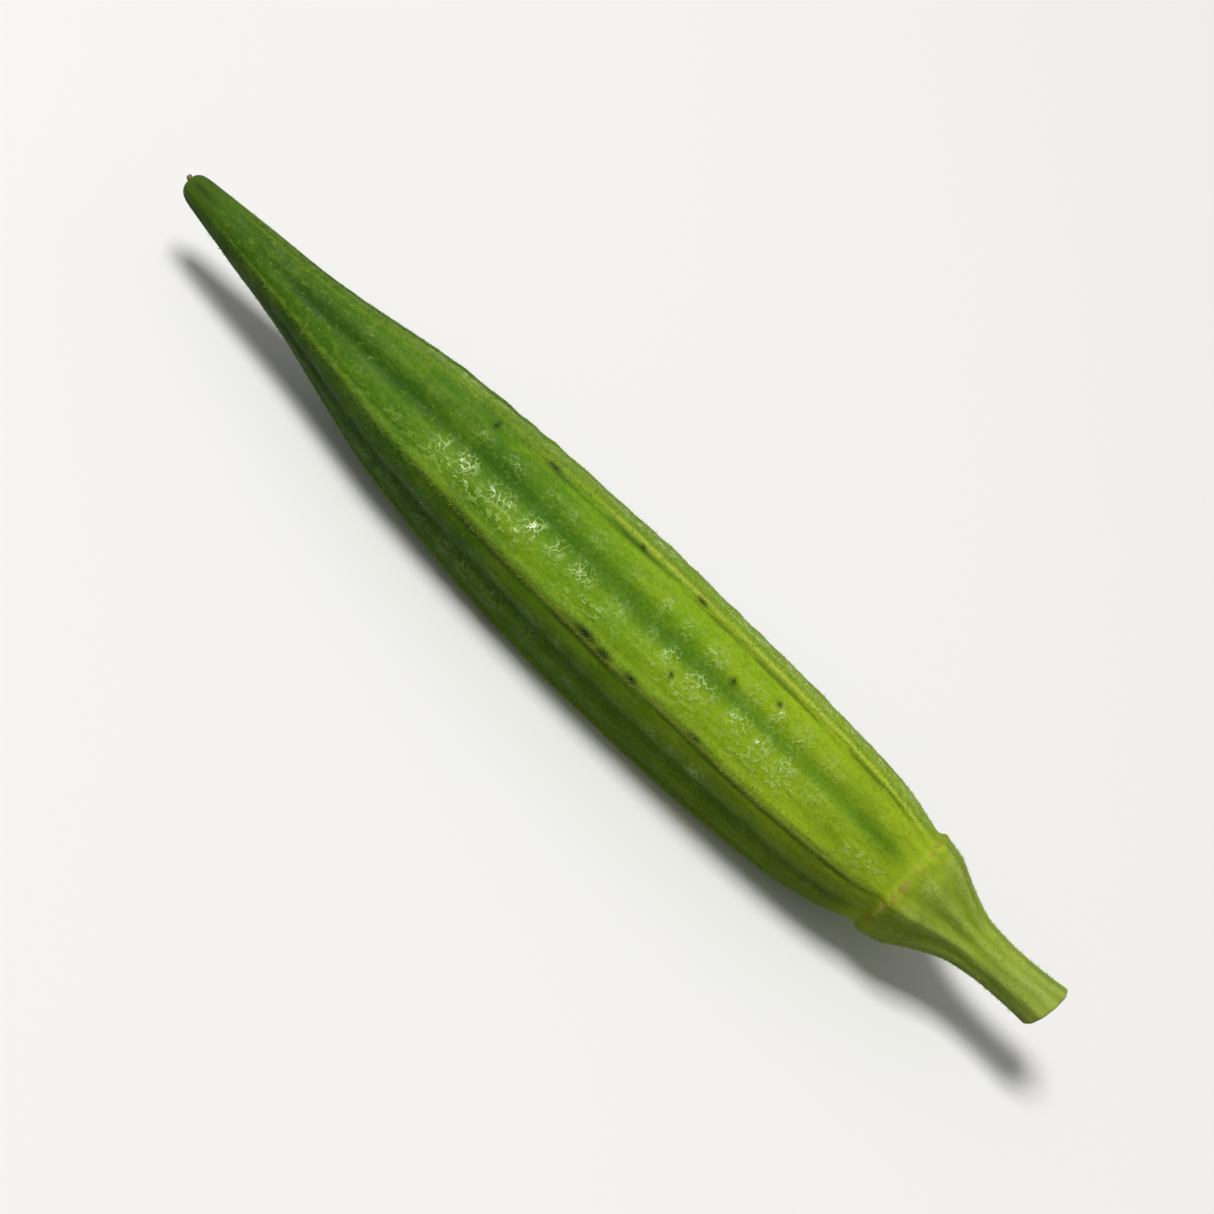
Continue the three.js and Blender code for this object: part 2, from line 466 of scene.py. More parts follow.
@dataclass
class SkinRelief:
    """What time and growth added to the form: uneven seeds, crinkles, pimples, worn ribs.

    A turn says where round the pod something is strongest, and a Rise where along it that
    thing sets in. Heights are in millimetres, and the noise that shapes one follows it.
    """

    form: PodForm
    seed: int = 11
    seed_sizes: int = 64
    seed_unevenness: float = 0.5
    rib_wander: float = math.radians(0.45)
    hollow_depth: float = 0.14
    hollow_width: float = math.radians(15)
    groove_width: float = math.radians(8)
    # The lit face is where crinkles and their painted glints are strongest; the turns after it
    # place the painted shade and painted light.
    lit_face_turn: float = math.radians(38)
    painted_shade_turn: float = math.radians(140)
    painted_shade_spread: float = math.radians(55)
    painted_lit_turn: float = math.radians(-24)
    painted_lit_spread: float = math.radians(20)
    painted_lit_end: float = math.radians(3.5)
    back_turn: float = math.radians(-120)
    pimple_off_crest: float = math.radians(-13)
    pimple_spread: float = math.radians(6)
    crests_roughen: Rise = Rise(25, 60)
    crest_highlights_set_in: Rise = Rise(50, 75)
    rib_shadows_set_in: Rise = Rise(38, 62)
    lit_paint_sets_in: Rise = Rise(22, 45)
    furrows_darken: Rise = Rise(6, 24)
    grooves_narrow: Rise = Rise(45, 72)
    crinkles_spread: Rise = Rise(60, 95)
    pimples_set_in: Rise = Rise(32, 46)
    mottles_set_in: Rise = Rise(22, 50)
    swell_height: float = 0.09
    swells: Grain = Grain((13, 6.5, 6.5))
    crinkle_height: float = 0.1
    creases: Grain = Grain((0.9, 1.2, 1.2), 7)
    crinkle_patches: Grain = Grain((16, 9, 9), 244)
    ripple_height: float = 0.03
    ripples: Grain = Grain((0.7, 0.9, 0.9), 53)
    pimple_height: float = 0.2
    pimples: Grain = Grain((0.85, 0.85, 0.85), 77)
    pimple_clumps: Grain = Grain((8, 3.5, 3.5), 43)
    wart_height: float = 0.075
    warts: Grain = Grain((1.3, 0.8, 0.8), 91)
    patch_edge: tuple[float, float] = (-0.35, 0.05)
    streak_height: float = 0.035
    streaks: Grain = Grain((9, 0.9, 0.9), 19)
    scar_height: float = 0.16
    scar_tears: Grain = Grain((0.9, 1.1, 1.1), 23)
    scar_rags: Grain = Grain((1.6, 1.6, 1.6), 17)

    def seeds(
        self, station: np.ndarray, off_crest: np.ndarray, ridge: np.ndarray
    ) -> dict[Side, np.ndarray]:
        """Swelling of the seeds in the two rows under a ridge, each seed of its own size.

        Args:
            station: Distance from the tip.
            off_crest: Angle from the nearest crest.
            ridge: Number of the nearest ridge.

        Returns:
            For each flank, the swelling as a share of a middling seed's height.
        """
        form = self.form
        rng = np.random.default_rng(self.seed)
        window = form.seed_window(station)
        rows = {}
        for side in Side:
            drawn = rng.uniform(-1, 1, (form.ridge_count, self.seed_sizes))
            sizes = 1 + self.seed_unevenness * drawn
            row = (station - form.first_seed) / form.seed_pitch + 0.25 * side.value + 0.31 * ridge
            row = row + 0.2 * np.sin(1.7 * row + 2.1 * ridge + side.value)
            which = np.mod(np.round(row).astype(int), self.seed_sizes)
            size = sizes[np.mod(ridge, form.ridge_count).astype(int), which]
            along = 0.5 + 0.5 * np.cos(2 * math.pi * row)
            off_seed = off_crest - side.value * form.seed_off_crest
            rows[side] = size * along * bell(off_seed, form.seed_spread) * window
        return rows

    def wandering_turn(self, station: np.ndarray, turn: np.ndarray) -> np.ndarray:
        """Turn as the ridges see it, because their crests aren't quite straight."""
        ridge, off_crest = self.form.split_turn(turn)
        sway = np.sin(station / 7.3 + 2.4 * ridge) + 0.6 * np.sin(station / 3.1 + 5.1 * ridge)
        hold = np.cos(math.pi * off_crest / self.form.ridge_angle) ** 2
        return turn + self.rib_wander * sway * hold

    def scuffs(self, station: np.ndarray, turn: np.ndarray, radius: np.ndarray) -> np.ndarray:
        """Strength of the dark rubbed places, from 0 to 1."""
        strength = 0 * station
        for scuff in SCUFFS:
            across = wrapped(turn - scuff.turn, -math.pi) * radius
            near = ((station - scuff.station) / scuff.reach) ** 2 + (across / scuff.width) ** 2
            strength = np.maximum(strength, np.exp(-near))
        return strength

    def skin(
        self, crest_radius: np.ndarray, station: np.ndarray, turn: np.ndarray
    ) -> tuple[np.ndarray, dict[str, np.ndarray]]:
        """Works out the skin's radius and what its finish needs to know.

        Args:
            crest_radius: Radius over the ridges.
            station: Distance from the tip.
            turn: Angle round the pod.

        Returns:
            The radius in millimetres, and masks from 0 to 1 by name.
        """
        form = self.form
        ridge, off_crest = form.split_turn(self.wandering_turn(station, turn))
        section = crest_radius * (1 - form.section_drop(off_crest) * form.ridge_strength(station))
        seeds = self.seeds(station, off_crest, ridge)
        swell = form.seed_swell * (seeds[Side.BEFORE] + seeds[Side.AFTER])
        at_tip = smooth_step(station, 0.4, 1.6) * (1 - smooth_step(station, 2, 6))
        hollow = bell(form.off_furrow(off_crest), self.hollow_width) * at_tip
        flutes = form.flute_height(station, turn)
        open_skin = np.clip(crest_radius / form.tip_radius, 0, 1)
        radius = section + (swell + flutes - self.hollow_depth * hollow) * open_skin
        to_scar = smooth_step(station, form.body_end - 3, form.pod_length - 0.5)
        body = smooth_step(station, 2, 10) * (1 - to_scar)
        on_cap = smooth_step(station, form.pod_length + 1, form.cap_start + 1)
        masks = {
            **self.rib_masks(station, off_crest, body),
            **self.face_masks(station, turn, off_crest, seeds, body),
            "body": body,
            "hollow": hollow,
            "tip": (1 - smooth_step(crest_radius, 0.4, 1.0)) * (station < 5),
            "cap": on_cap * (0.5 + 0.5 * np.cos(form.flute_count * turn)),
            "scuff": self.scuffs(station, turn, radius),
        }
        return radius, masks

    def rib_masks(
        self, station: np.ndarray, off_crest: np.ndarray, body: np.ndarray
    ) -> dict[str, np.ndarray]:
        """Works out what follows the ribs and furrows: crests, painted highlight and shadow lines,
        and painted furrow shade.

        Args:
            station: Distance from the tip.
            off_crest: Angle from the nearest crest.
            body: The body's own mask.

        Returns:
            Masks from 0 to 1 by name.
        """
        form = self.form
        crest = bell(off_crest, 1.05 * form.rib_width, 4)
        # Painted highlight: a crisp pale line along each crest's edge.
        line = bell(off_crest - 0.55 * form.rib_width, 0.28 * form.rib_width)
        # Painted shadow: a dark line under each crest's step.
        edge = bell(off_crest - 1.5 * form.rib_width, 0.4 * form.rib_width)
        wide = np.where(off_crest > 0, 1 - self.grooves_narrow.at(station), 0)
        # The furrow mask paints shade in the grooves, over a deeper green.
        furrow = bell(form.off_furrow(off_crest), self.groove_width * (1 + 0.9 * wide))
        return {
            "crest": crest * (0.55 + 0.45 * self.crests_roughen.at(station)) * body,
            "line": line * self.crest_highlights_set_in.at(station) * body,
            "edge": edge * self.rib_shadows_set_in.at(station) * body,
            "furrow": furrow * self.furrows_darken.at(station) * body,
        }

    def face_masks(
        self,
        station: np.ndarray,
        turn: np.ndarray,
        off_crest: np.ndarray,
        seeds: dict[Side, np.ndarray],
        body: np.ndarray,
    ) -> dict[str, np.ndarray]:
        """Works out what the faces show: painted light and shade, and crinkles and pimples with
        painted glints.

        Args:
            station: Distance from the tip.
            turn: Angle round the pod.
            off_crest: Angle from the nearest crest.
            seeds: What seeds() gives.
            body: The body's own mask.

        Returns:
            Masks from 0 to 1 by name.
        """
        turned = wrapped(turn, self.back_turn)
        # Painted shade: the lower side, away from the light, is painted a darker green.
        painted_shade = bell(turned - self.painted_shade_turn, self.painted_shade_spread)
        # Crinkles, and the pale glints painted on them, fade on faces turned from the light.
        turned_from_light = 1 - smooth_step(np.cos(turn - self.lit_face_turn), 0.2, 0.8)
        on_far_side = 0.2 + 0.6 * self.crinkles_spread.at(station)
        over_seeds = np.clip(1.5 * seeds[Side.BEFORE] + on_far_side * seeds[Side.AFTER], 0, 1)
        # Painted light: the top side is painted paler and yellower, where the light falls on it.
        painted_lit_side = bell(turned - self.painted_lit_turn, self.painted_lit_spread)
        lit_paint_fades = 1 - smooth_step(turned, 0, self.painted_lit_end)
        # Pimples near the ribs carry pale painted glints and are kept off the painted shade.
        pimples_and_painted_glints = bell(off_crest - self.pimple_off_crest, self.pimple_spread)
        return {
            "painted_lit_side": painted_lit_side * lit_paint_fades * (0.35 + 0.65 * self.lit_paint_sets_in.at(station)) * body,
            "painted_shade": painted_shade * body,
            "crinkles_and_painted_glints": over_seeds * (1 - 0.8 * turned_from_light),
            "pimples_and_painted_glints": pimples_and_painted_glints * self.pimples_set_in.at(station) * (1 - painted_shade) * body,
            "mottled": self.mottles_set_in.at(station),
        }

    def fine(self, points: np.ndarray, masks: dict[str, np.ndarray]) -> np.ndarray:
        """Height of the fine relief over the form.

        Args:
            points: Skin points in millimetres.
            masks: What skin() gives for them. The crinkle and pimple masks are broken into
                patches.

        Returns:
            Height in millimetres, along the skin's outward direction.
        """
        patches = smooth_step(self.crinkle_patches.at(points), *self.patch_edge)
        masks["crinkles_and_painted_glints"] = masks["crinkles_and_painted_glints"] * patches
        clumps = smooth_step(self.pimple_clumps.at(points), *self.patch_edge)
        masks["pimples_and_painted_glints"] = masks["pimples_and_painted_glints"] * clumps
        body = masks["body"]
        smooth = body * (1 - masks["crest"])
        broad = self.swell_height * self.swells.at(points) * body
        creases = 1 - 3 * np.abs(self.creases.at(points))
        crinkles = self.crinkle_height * creases * masks["crinkles_and_painted_glints"]
        ripples = self.ripple_height * self.ripples.at(points) * smooth
        bumps = np.clip(self.pimples.at(points) - 0.3 + 0.3 * masks["pimples_and_painted_glints"], 0, 1)
        pimples = self.pimple_height * bumps * smooth
        warts = self.wart_height * self.warts.at(points) * masks["crest"]
        streaks = self.streak_height * self.streaks.at(points)
        return broad + crinkles + ripples + pimples + warts + streaks

    def scar_mask(self, points: np.ndarray, station: np.ndarray) -> np.ndarray:
        """Where the fallen calyx left its corky line, ragged by noise."""
        ragged = station + 0.5 * self.scar_rags.at(points)
        return bell(ragged - self.form.pod_length - 0.25, 0.42)

    def scar_relief(self, points: np.ndarray, station: np.ndarray) -> np.ndarray:
        """Height of the torn edge that the fallen calyx left, in millimetres."""
        near = bell(station - self.form.pod_length - 0.5, 0.8)
        return self.scar_height * self.scar_tears.at(points) * near


def mesh_points(mesh: bpy.types.Mesh) -> np.ndarray:
    """Reads a mesh's vertices, one row each."""
    flat = np.empty(3 * len(mesh.vertices))
    mesh.vertices.foreach_get("co", flat)
    return flat.reshape(-1, 3)


def write_points(mesh: bpy.types.Mesh, points: np.ndarray) -> None:
    """Writes a mesh's vertices."""
    mesh.vertices.foreach_set("co", points.ravel())
    mesh.update()


def write_mask(mesh: bpy.types.Mesh, name: str, values: np.ndarray) -> None:
    """Writes a number for each vertex, which the finish reads by name."""
    layer = mesh.attributes.new(name, "FLOAT", "POINT")
    layer.data.foreach_set("value", values.astype(np.float32))


def close_surface(piece: bpy.types.Object, merge_distance: float) -> None:
    """Merges a piece's seam and poles, and points its faces outwards.

    Args:
        piece: The piece, which becomes the active object.
        merge_distance: Greatest gap that is merged, in metres.
    """
    bpy.ops.object.select_all(action="DESELECT")
    bpy.context.view_layer.objects.active = piece
    piece.select_set(True)
    bpy.ops.object.mode_set(mode="EDIT")
    bpy.ops.mesh.select_all(action="SELECT")
    bpy.ops.mesh.remove_doubles(threshold=merge_distance)
    bpy.ops.mesh.delete_loose()
    bpy.ops.mesh.select_all(action="SELECT")
    bpy.ops.mesh.normals_make_consistent(inside=False)
    bpy.ops.object.mode_set(mode="OBJECT")
    bpy.ops.object.shade_smooth()


def put_in_order(piece: bpy.types.Object) -> None:
    """Puts a piece's points, edges and faces in order by their place.

    Extrude makes new ones in an order that changes from run to run.

    Args:
        piece: The piece, which becomes the active object.
    """
    bpy.ops.object.select_all(action="DESELECT")
    bpy.context.view_layer.objects.active = piece
    piece.select_set(True)
    bpy.ops.object.mode_set(mode="EDIT")
    bpy.ops.mesh.select_all(action="SELECT")
    bpy.ops.mesh.sort_elements(type="CURSOR_DISTANCE", elements={"VERT", "EDGE", "FACE"})
    bpy.ops.object.mode_set(mode="OBJECT")


@dataclass(frozen=True)
class Pattern:
    """Noise with bumps of a real size, kept to where a mask is strong.

    The size is the width of the bumps along X, Y and Z, in millimetres. The noise shows from
    low and is full at high, between 0 and 1, and about half of it is over 0.5. Strokes are thin
    lines between the bumps instead, from low and full at high, between 0 and 0.5.
    """

    size: tuple[float, float, float]
    low: float = 0.35
    high: float = 0.65
    mask: str = ""
    detail: float = 2.0
    strokes: bool = False

    def share(self, tree: bpy.types.NodeTree) -> bpy.types.NodeSocket:
        """Adds the pattern's nodes.

        Args:
            tree: The finish's node tree.

        Returns:
            The socket that gives its strength, from 0 to 1.
        """
        place = add_node(tree, "TexCoord").outputs["Object"]
        per_metre = [1 / (MM * width) for width in self.size]
        scaled = add_node(tree, "Mapping", {"Vector": place, "Scale": per_metre}).outputs["Vector"]
        inputs = {"Vector": scaled, "Scale": 1.0, "Detail": self.detail}
        value = add_node(tree, "TexNoise", inputs).outputs["Fac"]
        if self.strokes:
            value = add_node(tree, "Math", {0: value, 1: 0.5}, operation="PINGPONG").outputs[0]
        limits = {"Value": value, "From Min": self.low, "From Max": self.high}
        rise = add_node(tree, "MapRange", limits, interpolation_type="SMOOTHSTEP")
        shown = rise.outputs["Result"]
        if not self.mask:
            return shown
        mask = add_node(tree, "Attribute", attribute_name=self.mask).outputs["Fac"]
        return add_node(tree, "Math", {0: shown, 1: mask}, operation="MULTIPLY").outputs[0]


# These patterns shape real bumps, gloss and coat, and also carry pale painted glints.
CRINKLES_AND_GLINT_PAINT = Pattern((0.9, 1.0, 1.0), 0.43, 0.475, "crinkles_and_painted_glints", 1.5, strokes=True)
PIMPLES_AND_GLINT_PAINT = Pattern((0.8, 0.6, 0.6), 0.51, 0.57, "pimples_and_painted_glints", 1.5)


@dataclass(frozen=True)
class ColourLayer:
    """A colour laid over a surface where its pattern shows."""

    colour: str
    strength: float
    pattern: Pattern
    blend: str = "MIX"

    def over(self, tree: bpy.types.NodeTree, below: bpy.types.NodeSocket) -> bpy.types.NodeSocket:
        """Lays the colour over what is below it and gives the new colour's socket."""
        amount = {0: self.pattern.share(tree), 1: self.strength}
        factor = add_node(tree, "Math", amount, operation="MULTIPLY").outputs[0]
        inputs = {"Factor": factor, MIX_BELOW: below, MIX_ABOVE: linear(self.colour)}
        mix = add_node(tree, "Mix", inputs, data_type="RGBA", blend_type=self.blend)
        return mix.outputs[MIXED]


@dataclass(frozen=True)
class ColourRun:
    """Colours that run into each other, at places from 0 to 1."""

    stops: tuple[tuple[float, str], ...]

    def colour(
        self, tree: bpy.types.NodeTree, along: bpy.types.NodeSocket
    ) -> bpy.types.NodeSocket:
        """Adds the run's node.

        Args:
            tree: The finish's node tree.
            along: The place on the run.

        Returns:
            The socket that gives the colour.
        """
        node = add_node(tree, "ValToRGB", {"Fac": along})
        elements = node.color_ramp.elements
        for number, (position, colour) in enumerate(self.stops):
            stop = elements[number] if number < 2 else elements.new(position)
            stop.position = position
            stop.color = linear(colour)
        return node.outputs["Color"]


@dataclass(frozen=True)
class FreshSkin:
    """Skin of a fresh pod: green tissue under a thin wax.

    The wax gives it a soft gloss that breaks into small glints where the skin is crinkled, and
    pale glints are painted on the crinkles and pimples too. It is dark at the tip, yellower
    toward the stalk and paler on the ribs. Shade is painted darker in the furrows, under the
    rib crests, in the tip's hollows and on the lower side; light is painted paler on the top
    side and as a line on each crest. Each layer of colour lies over the one before, from the
    broad mottling to the dark scuffs.
    """

    growth: ColourRun = ColourRun(
        (
            (0.0, "#46600f"),
            (0.05, "#466a0c"),
            (0.13, "#4a7009"),
            (0.22, "#48740a"),
            (0.33, "#5a8709"),
            (0.42, "#6a9508"),
            (0.53, "#7aa208"),
            (0.62, "#8bad0a"),
            (0.72, "#9ab612"),
            (0.83, "#a2b924"),
            (0.86, "#92a82c"),
            (0.93, "#8ba032"),
            (1.0, "#95a544"),
        )
    )
    layers: tuple[ColourLayer, ...] = (
        ColourLayer("#a8c01e", 0.25, Pattern((9, 4, 4), 0.4, 0.68, "mottled")),
        ColourLayer("#b7cb80", 0.5, Pattern((15, 5, 5), 0.42, 0.66), "MULTIPLY"),
        ColourLayer("#ccd9a0", 0.4, Pattern((14, 0.9, 0.9), 0.4, 0.66), "MULTIPLY"),
        # Painted shade: the lower side darker.
        ColourLayer("#8fa868", 0.75, Pattern((20, 9, 9), 0.0, 0.4, "painted_shade"), "MULTIPLY"),
        # Painted light: the top side paler and yellower.
        ColourLayer("#8ea636", 0.75, Pattern((0.7, 3.5, 3.5), 0.15, 0.75, "painted_lit_side")),
        ColourLayer("#9cb534", 0.16, Pattern((1.6, 1.0, 1.0), 0.48, 0.7, "body")),
        # Painted shade in the furrows, partly a deeper green.
        ColourLayer("#9dbb3c", 0.84, Pattern((11, 3, 3), 0.05, 0.35, "furrow"), "MULTIPLY"),
        ColourLayer("#adc350", 0.2, Pattern((0.5, 0.5, 0.5), 0.6, 0.72, "body")),
        ColourLayer("#b9c890", 0.35, Pattern((0.55, 0.45, 0.45), 0.5, 0.62, "body"), "MULTIPLY"),
        ColourLayer("#8ba42c", 0.4, Pattern((1.1, 0.4, 0.4), 0.25, 0.6, "crest")),
        # Painted glints: pale colour on the crinkles.
        ColourLayer("#b8d67c", 0.65, CRINKLES_AND_GLINT_PAINT),
        # Painted glints: pale colour on the pimples.
        ColourLayer("#aac95c", 0.6, PIMPLES_AND_GLINT_PAINT),
        # Painted highlight: a pale line on each crest.
        ColourLayer("#bccb4a", 0.8, Pattern((9, 0.6, 0.6), 0.15, 0.45, "line")),
        # Painted shadow: a dark line under each crest's step.
        ColourLayer("#55682c", 0.7, Pattern((6, 0.9, 0.9), 0.3, 0.55, "edge"), "MULTIPLY"),
        ColourLayer("#6d7430", 0.25, Pattern((5, 1.5, 1.5), 0.52, 0.72, "crest")),
        ColourLayer("#adbf58", 0.5, Pattern((3, 0.8, 0.8), 0.2, 0.6, "cap")),
        # Painted shade: darker in the tip's hollows.
        ColourLayer("#6b7a3a", 0.5, Pattern((3, 3, 3), 0.0, 0.3, "hollow"), "MULTIPLY"),
        ColourLayer("#2c2c12", 0.9, Pattern((1, 1, 1), 0.1, 0.5, "tip")),
        ColourLayer("#97873f", 0.85, Pattern((0.8, 0.8, 0.8), 0.4, 0.62, "scar")),
        ColourLayer("#11150a", 1.0, Pattern((0.8, 0.6, 0.6), 0.26, 0.36, "scuff")),
    )
    speck: str = "#20260a"
    speck_spacing: float = 2.3
    speck_radius: float = 0.24
    speck_share: float = 0.07

    def specks(self, tree: bpy.types.NodeTree) -> bpy.types.NodeSocket:
        """Adds small dark dots, where hairs broke off or dust stuck.

        Args:
            tree: The finish's node tree.

        Returns:
            The socket that is 1 on a dot and 0 off it.
        """
        place = add_node(tree, "TexCoord").outputs["Object"]
        inputs = {"Vector": place, "Scale": 1 / (MM * self.speck_spacing)}
        cells = add_node(tree, "TexVoronoi", inputs)
        drawn = {0: cells.outputs["Color"], 1: 1 - self.speck_share}
        chosen = add_node(tree, "Math", drawn, operation="GREATER_THAN").outputs[0]
        rim = self.speck_radius / self.speck_spacing
        fall = {
            "Value": cells.outputs["Distance"],
            "From Min": 0.6 * rim,
            "From Max": 1.2 * rim,
            "To Min": 1.0,
            "To Max": 0.0,
        }
        dot = add_node(tree, "MapRange", fall).outputs["Result"]
        return add_node(tree, "Math", {0: chosen, 1: dot}, operation="MULTIPLY").outputs[0]

    def roughness(self, tree: bpy.types.NodeTree) -> bpy.types.NodeSocket:
        """Adds the gloss: soft on the faces, bright where crinkled, dull on ribs and scar."""
        worn = Pattern((2.5, 1.5, 1.5)).share(tree)
        limits = {"Value": worn, "To Min": 0.58, "To Max": 0.72}
        level = add_node(tree, "MapRange", limits).outputs["Result"]
        for mask, change in (("crinkles_and_painted_glints", -0.15), ("crest", 0.1), ("scar", 0.3), ("tip", 0.2)):
            strength = add_node(tree, "Attribute", attribute_name=mask).outputs["Fac"]
            amounts = {0: strength, 1: change, 2: level}
            level = add_node(tree, "Math", amounts, operation="MULTIPLY_ADD").outputs[0]
        return level

    def wax(self, tree: bpy.types.NodeTree) -> bpy.types.NodeSocket:
        """Adds the share of the skin where the wax lies thick and glints: on the wrinkles."""
        amounts = {0: CRINKLES_AND_GLINT_PAINT.share(tree), 1: PIMPLES_AND_GLINT_PAINT.share(tree)}
        return add_node(tree, "Math", amounts, operation="MAXIMUM").outputs[0]

    def bump(self, tree: bpy.types.NodeTree) -> bpy.types.NodeSocket:
        """Adds the relief that is finer than the mesh: creases, pores and fibres."""
        height: float | bpy.types.NodeSocket = 0.0
        fine_relief = (
            (CRINKLES_AND_GLINT_PAINT, 2.0),
            (PIMPLES_AND_GLINT_PAINT, 1.8),
            (Pattern((0.3, 0.35, 0.35), 0.3, 0.7, "body"), 0.35),
            (Pattern((4.5, 0.45, 0.45), 0.3, 0.7), 0.5),
        )
        for pattern, depth in fine_relief:
            amounts = {0: pattern.share(tree), 1: depth, 2: height}
            height = add_node(tree, "Math", amounts, operation="MULTIPLY_ADD").outputs[0]
        inputs = {"Height": height, "Strength": 1.0, "Distance": 0.045 * MM}
        return add_node(tree, "Bump", inputs).outputs["Normal"]

    def material(self) -> bpy.types.Material:
        """Builds the finish."""
        material = new_finish("okra_fresh_waxy_skin")
        tree = material.node_tree
        relief = self.bump(tree)
        along = add_node(tree, "Attribute", attribute_name="along").outputs["Fac"]
        colour = self.growth.colour(tree, along)
        for layer in self.layers:
            colour = layer.over(tree, colour)
        inputs = {
            "Factor": self.specks(tree),
            MIX_BELOW: colour,
            MIX_ABOVE: linear(self.speck),
        }
        colour = add_node(tree, "Mix", inputs, data_type="RGBA").outputs[MIXED]
        shader = add_node(
            tree,
            "BsdfPrincipled",
            {
                "Base Color": colour,
                "Roughness": self.roughness(tree),
                "IOR": 1.42,
                "Specular IOR Level": 0.2,
                "Coat Weight": self.wax(tree),
                "Coat Roughness": 0.18,
                "Coat IOR": 1.5,
                "Coat Normal": relief,
                "Subsurface Weight": 0.06,
                "Subsurface Radius": (0.6, 1.0, 0.15),
                "Subsurface Scale": 0.8 * MM,
                "Sheen Weight": 0.01,
                "Sheen Roughness": 0.45,
                "Sheen Tint": linear("#d3e08c"),
                "Normal": relief,
            },
        )
        add_node(tree, "OutputMaterial", {"Surface": shader.outputs["BSDF"]})
        return material


@dataclass(frozen=True)
class CutStalk:
    """Cut face of the stalk: pale wet pith with a ring of fibre, drying brown at the rim."""

    rings: ColourRun = ColourRun(
        (
            (0.0, "#cdd3a0"),
            (0.45, "#c3cc90"),
            (0.6, "#a9b66c"),
            (0.72, "#8c9d52"),
            (0.84, "#b0bd78"),
            (0.94, "#7f8f3e"),
            (1.0, "#6d5a2c"),
        )
    )
    fibre: str = "#7f9440"
    fibre_spacing: float = 0.5
    drying: ColourLayer = ColourLayer("#a08a52", 0.5, Pattern((1.2, 1.2, 1.2), 0.45, 0.7))

    def material(self) -> bpy.types.Material:
        """Builds the finish."""
        material = new_finish("okra_cut_stalk_pith")
        tree = material.node_tree
        from_middle = add_node(tree, "Attribute", attribute_name="cut").outputs["Fac"]
        place = add_node(tree, "TexCoord").outputs["Object"]
        inputs = {"Vector": place, "Scale": 1 / (MM * self.fibre_spacing)}
        fibres = add_node(tree, "TexVoronoi", inputs).outputs["Distance"]
        limits = {"Value": fibres, "From Min": 0.1, "From Max": 0.5, "To Min": 0.5, "To Max": 0.0}
        dots = add_node(tree, "MapRange", limits).outputs["Result"]
        rings = self.rings.colour(tree, from_middle)
        inputs = {"Factor": dots, MIX_BELOW: rings, MIX_ABOVE: linear(self.fibre)}
        colour = add_node(tree, "Mix", inputs, data_type="RGBA").outputs[MIXED]
        colour = self.drying.over(tree, colour)
        rough = {"Height": fibres, "Strength": 0.8, "Distance": 0.1 * MM}
        normal = add_node(tree, "Bump", rough).outputs["Normal"]
        inputs = {"Base Color": colour, "Roughness": 0.6, "IOR": 1.4, "Normal": normal}
        shader = add_node(tree, "BsdfPrincipled", inputs)
        add_node(tree, "OutputMaterial", {"Surface": shader.outputs["BSDF"]})
        return material


@dataclass(frozen=True)
class WitheredStyle:
    """Dried flower tissue: thin brown shreds, matte, with paler edges."""

    dark: str = "#4a3a20"
    pale: str = "#a48d66"
    shreds: Pattern = Pattern((0.9, 0.25, 0.25), 0.35, 0.62)

    def material(self) -> bpy.types.Material:
        """Builds the finish."""
        material = new_finish("okra_withered_style")
        tree = material.node_tree
        shreds = self.shreds.share(tree)
        inputs = {
            "Factor": shreds,
            MIX_BELOW: linear(self.dark),
            MIX_ABOVE: linear(self.pale),
        }
        colour = add_node(tree, "Mix", inputs, data_type="RGBA").outputs[MIXED]
        rough = {"Height": shreds, "Strength": 0.8, "Distance": 0.08 * MM}
        normal = add_node(tree, "Bump", rough).outputs["Normal"]
        inputs = {"Base Color": colour, "Roughness": 0.8, "IOR": 1.45, "Normal": normal}
        shader = add_node(tree, "BsdfPrincipled", inputs)
        add_node(tree, "OutputMaterial", {"Surface": shader.outputs["BSDF"]})
        return material


@dataclass(frozen=True)
class PlantHair:
    """Short clear plant hair, grown stiff, which catches the light as a pale down."""

    name: str = "okra_pale_plant_hair"
    pale: str = "#a0b552"
    green: str = "#7c9434"
    tint: Pattern = Pattern((4, 2, 2), 0.35, 0.65)

    def material(self) -> bpy.types.Material:
        """Builds the finish."""
        material = new_finish(self.name)
        tree = material.node_tree
        inputs = {
            "Factor": self.tint.share(tree),
            MIX_BELOW: linear(self.pale),
            MIX_ABOVE: linear(self.green),
        }
        colour = add_node(tree, "Mix", inputs, data_type="RGBA").outputs[MIXED]
        inputs = {"Base Color": colour, "Roughness": 0.5, "IOR": 1.45}
        shader = add_node(tree, "BsdfPrincipled", inputs)
        add_node(tree, "OutputMaterial", {"Surface": shader.outputs["BSDF"]})
        return material


FINE_DOWN = PlantHair("okra_fine_plant_down", "#819c3e", "#5d7c22")


@dataclass(frozen=True)
class PaleTable:
    """Matte painted table top, so plain that only the pod shows."""

    colour: str = "#f2f1ee"

    def material(self) -> bpy.types.Material:
        """Builds the finish."""
        material = bpy.data.materials.new("pale_matte_table")
        material.use_nodes = True
        shader = material.node_tree.nodes["Principled BSDF"]
        shader.inputs["Base Color"].default_value = linear(self.colour)
        shader.inputs["Roughness"].default_value = 0.9
        shader.inputs["Specular IOR Level"].default_value = 0.1
        return material


